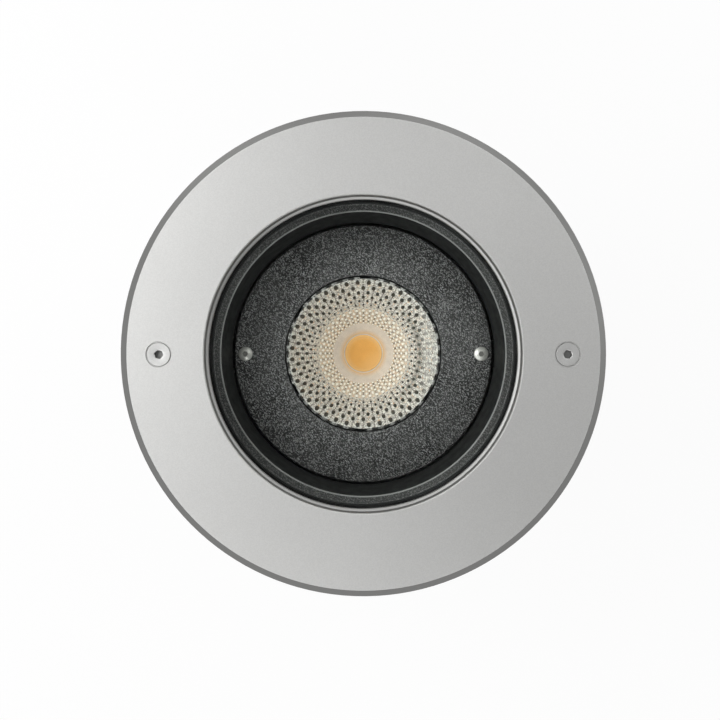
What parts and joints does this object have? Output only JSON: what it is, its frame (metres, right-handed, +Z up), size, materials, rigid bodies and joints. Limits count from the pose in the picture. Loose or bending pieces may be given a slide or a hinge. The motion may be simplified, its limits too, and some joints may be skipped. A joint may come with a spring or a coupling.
{
  "type": "recessed in-ground uplight",
  "caption": "Round in-ground uplight: flat steel trim ring over a glass pane, and a faceted reflector lamp that pans and tilts inside a stepped, ribbed pot.",
  "frame": {"origin": "middle of the pot's foot, on the upright axis, level with the face it stands on", "axes": "+Z points up out of the ground, the way the light shines; +X runs through the right-hand trim screw and along the tilt axis; the cable glands point along -Y"},
  "size_m": [0.24, 0.24, 0.22],
  "materials": {
    "blasted_steel": "bead-blasted satin",
    "screw_steel": "plain stainless",
    "black_rubber": "matt",
    "clear_glass": "clear toughened",
    "black_casting": "black powder-coated casting",
    "smooth_black": "smooth black paint",
    "red_silicone": "smooth",
    "zinc_sheet": "zinc-plated sheet",
    "white_plastic": "matt",
    "grey_plastic": "matt",
    "brass_screws": "plain",
    "lead_plastic": "smooth",
    "earth_plastic": "smooth",
    "gland_plastic": "moulded",
    "nylon": "natural",
    "textured_black": "black wrinkle paint",
    "silvered": "silvered facets",
    "frosted_plastic": "frosted",
    "amber_phosphor": "silicone over phosphor",
    "pad_silicone": "matt",
    "bare_aluminium": "plain",
    "white_lead": "smooth"
  },
  "bodies": {
    "fitting": {"trim_ring": "blasted_steel", "trim_screws": "screw_steel", "trim_gasket": "black_rubber", "glass": "clear_glass", "glass_seal": "black_rubber", "glass_frame": "black_casting", "frame_screws": "screw_steel", "frame_o_ring": "red_silicone", "glare_cone": "smooth_black", "cone_screws": "screw_steel", "pot": "black_casting", "keeper_washers": "screw_steel", "keeper_screws": "screw_steel", "gear_pot": "black_casting", "gear_pillars": "zinc_sheet", "pot_o_ring": "red_silicone", "pot_screws": "screw_steel", "gear_tray": "zinc_sheet", "tray_screws": "screw_steel", "tray_grommet": "black_rubber", "led_driver": "white_plastic", "driver_screws": "screw_steel", "output_socket": "grey_plastic", "terminal_block": "grey_plastic", "terminal_screws": "brass_screws", "driver_leads": "lead_plastic", "earth_terminal": "screw_steel", "earth_lead": "earth_plastic", "gland_bodies": "gland_plastic", "gland_seals": "black_rubber", "gland_caps": "gland_plastic", "gland_o_rings": "black_rubber", "blanking_plug": "gland_plastic", "vent_plug": "gland_plastic"},
    "pan": {"pan_ring": "zinc_sheet"},
    "optic": {"tilt_pins": "screw_steel", "tilt_washers": "nylon", "tilt_frame": "black_casting", "baffle_plate": "textured_black", "baffle_screws": "screw_steel", "reflector": "silvered", "lamp_holder": "frosted_plastic", "holder_screws": "screw_steel", "led_emitter": "amber_phosphor", "led_board": "white_plastic", "thermal_pad": "pad_silicone", "heat_sink": "bare_aluminium", "heat_sink_screws": "screw_steel", "lamp_lead": "white_lead"}
  },
  "joints": [
    {"name": "pan_turn", "type": "hinge", "parent": "fitting", "child": "pan", "pos_m": [0, 0, 0.112], "axis": [0, 0, 1], "range_deg": [-175, 175]},
    {"name": "optic_tilt", "type": "hinge", "parent": "pan", "child": "optic", "pos_m": [0, 0, 0.16], "axis": [1, 0, 0], "range_deg": [-15, 15], "deforming": ["lamp_lead"]}
  ]
}
